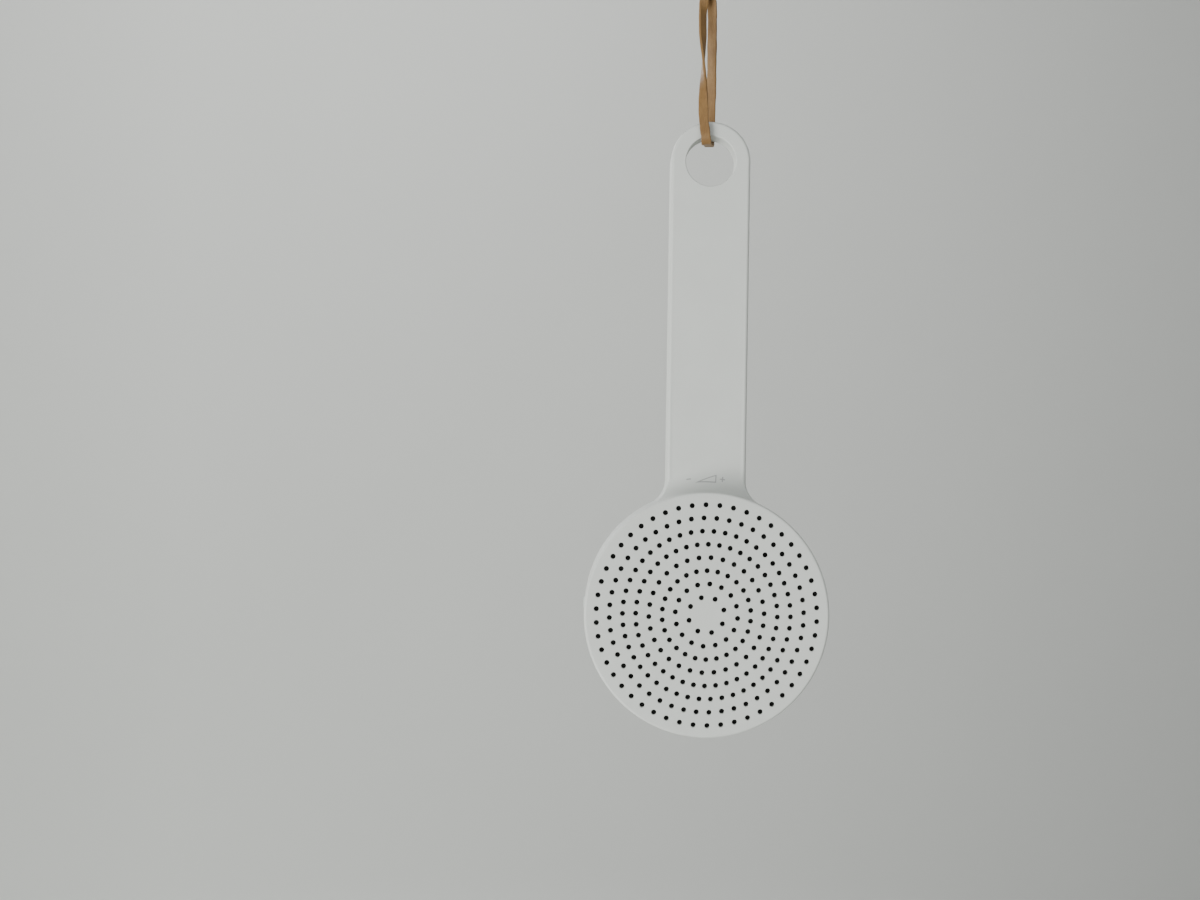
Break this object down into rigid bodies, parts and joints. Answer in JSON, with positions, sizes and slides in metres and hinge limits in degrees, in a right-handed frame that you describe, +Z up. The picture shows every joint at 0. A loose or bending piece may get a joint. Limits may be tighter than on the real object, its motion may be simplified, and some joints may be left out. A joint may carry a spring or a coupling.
{
  "type": "shower speaker",
  "caption": "Water-resistant speaker shaped like a shower head: round drum with a perforated turning dial on a flat handle, hung by a leather lace through a hole",
  "frame": {"origin": "the middle of the hanging hole, on the handle's mid-plane", "axes": "+Z up along the handle, -Y is the front that the sound holes face, +X is to the right seen from the front"},
  "size_m": [0.0802, 0.0291, 0.2658],
  "materials": {
    "white_plastic": "fine satin mould texture",
    "black_plastic": "matt",
    "white_acetal": "smooth satin",
    "grey_rubber": "soft silicone",
    "black_rubber": "soft matt",
    "steel": "zinc plated",
    "copper_wire": "enamelled copper winding",
    "nickel": "nickel plated",
    "lace_leather": "waxed tan leather",
    "cloth": "fine acoustic mesh",
    "cone_paper": "matt moulded cone",
    "spider_cloth": "resin-treated cloth",
    "foam": "closed-cell foam",
    "board": "green lacquered board",
    "battery_wrap": "shrink wrap",
    "nylon": "nylon housing",
    "lead_red": "red insulation",
    "lead_black": "black insulation",
    "light_pipe": "clear moulding",
    "light_body": "clear epoxy"
  },
  "bodies": {
    "case": {"front_housing": "white_plastic", "rear_housing": "white_plastic", "encoder_body": "black_plastic", "driver_basket": "black_plastic", "amplifier_chip": "black_plastic", "dial_retaining_ring": "white_acetal", "dial_glide_ring": "white_acetal", "case_seal": "grey_rubber", "button_membrane": "grey_rubber", "encoder_shaft_seal": "black_rubber", "driver_gasket": "black_rubber", "driver_surround": "black_rubber", "case_screw_1": "steel", "case_screw_2": "steel", "case_screw_3": "steel", "case_screw_4": "steel", "case_screw_5": "steel", "case_screw_6": "steel", "driver_screw_1": "steel", "driver_screw_2": "steel", "driver_screw_3": "steel", "driver_screw_4": "steel", "board_screw_1": "steel", "board_screw_2": "steel", "board_screw_3": "steel", "driver_yoke": "steel", "driver_pole_plate": "steel", "power_switch": "steel", "charging_port": "steel", "radio_module": "steel", "driver_magnet": "nickel", "strap_front": "lace_leather", "strap_rear": "lace_leather", "strap_knot": "lace_leather", "driver_spider": "spider_cloth", "battery_pad": "foam", "main_board": "board", "battery": "battery_wrap", "battery_connector": "nylon", "speaker_connector": "nylon", "battery_lead_1": "lead_red", "speaker_lead_1": "lead_red", "battery_lead_2": "lead_black", "speaker_lead_2": "lead_black", "status_light_pipe": "light_pipe", "status_light": "light_body"},
    "volume_dial": {"volume_dial": "white_plastic", "dial_cloth": "cloth", "dial_ring_gear": "white_acetal"},
    "encoder_pinion": {"encoder_pinion": "white_acetal"},
    "power_button": {"power_button": "white_plastic", "power_switch_plunger": "black_plastic"},
    "charging_port_cover": {"charging_port_cover": "white_plastic"},
    "cone": {"driver_cone": "cone_paper", "dust_cap": "cone_paper", "voice_coil": "copper_wire"}
  },
  "joints": [
    {"name": "volume_dial_turn", "type": "hinge", "parent": "case", "child": "volume_dial", "pos_m": [0, 0, -0.15], "axis": [0, 1, 0], "continuous": true},
    {"name": "encoder_pinion_turn", "type": "hinge", "parent": "case", "child": "encoder_pinion", "pos_m": [0.00802, 0, -0.12006], "axis": [0, 1, 0], "continuous": true},
    {"name": "power_button_press", "type": "slide", "parent": "case", "child": "power_button", "axis": [1, 0, 0], "range_m": [0, 0.0005], "stiffness_N_per_m": 3000},
    {"name": "charging_port_cover_swing", "type": "hinge", "parent": "case", "child": "charging_port_cover", "pos_m": [0.0399, -0.009, -0.1565], "axis": [0, 1, 0], "range_deg": [0, 110]},
    {"name": "cone_stroke", "type": "slide", "parent": "case", "child": "cone", "axis": [0, 1, 0], "range_m": [-0.0008, 0.0008], "stiffness_N_per_m": 800}
  ],
  "couplings": [
    {"joint": "encoder_pinion_turn", "follows": "volume_dial_turn", "ratio": 7.2}
  ]
}
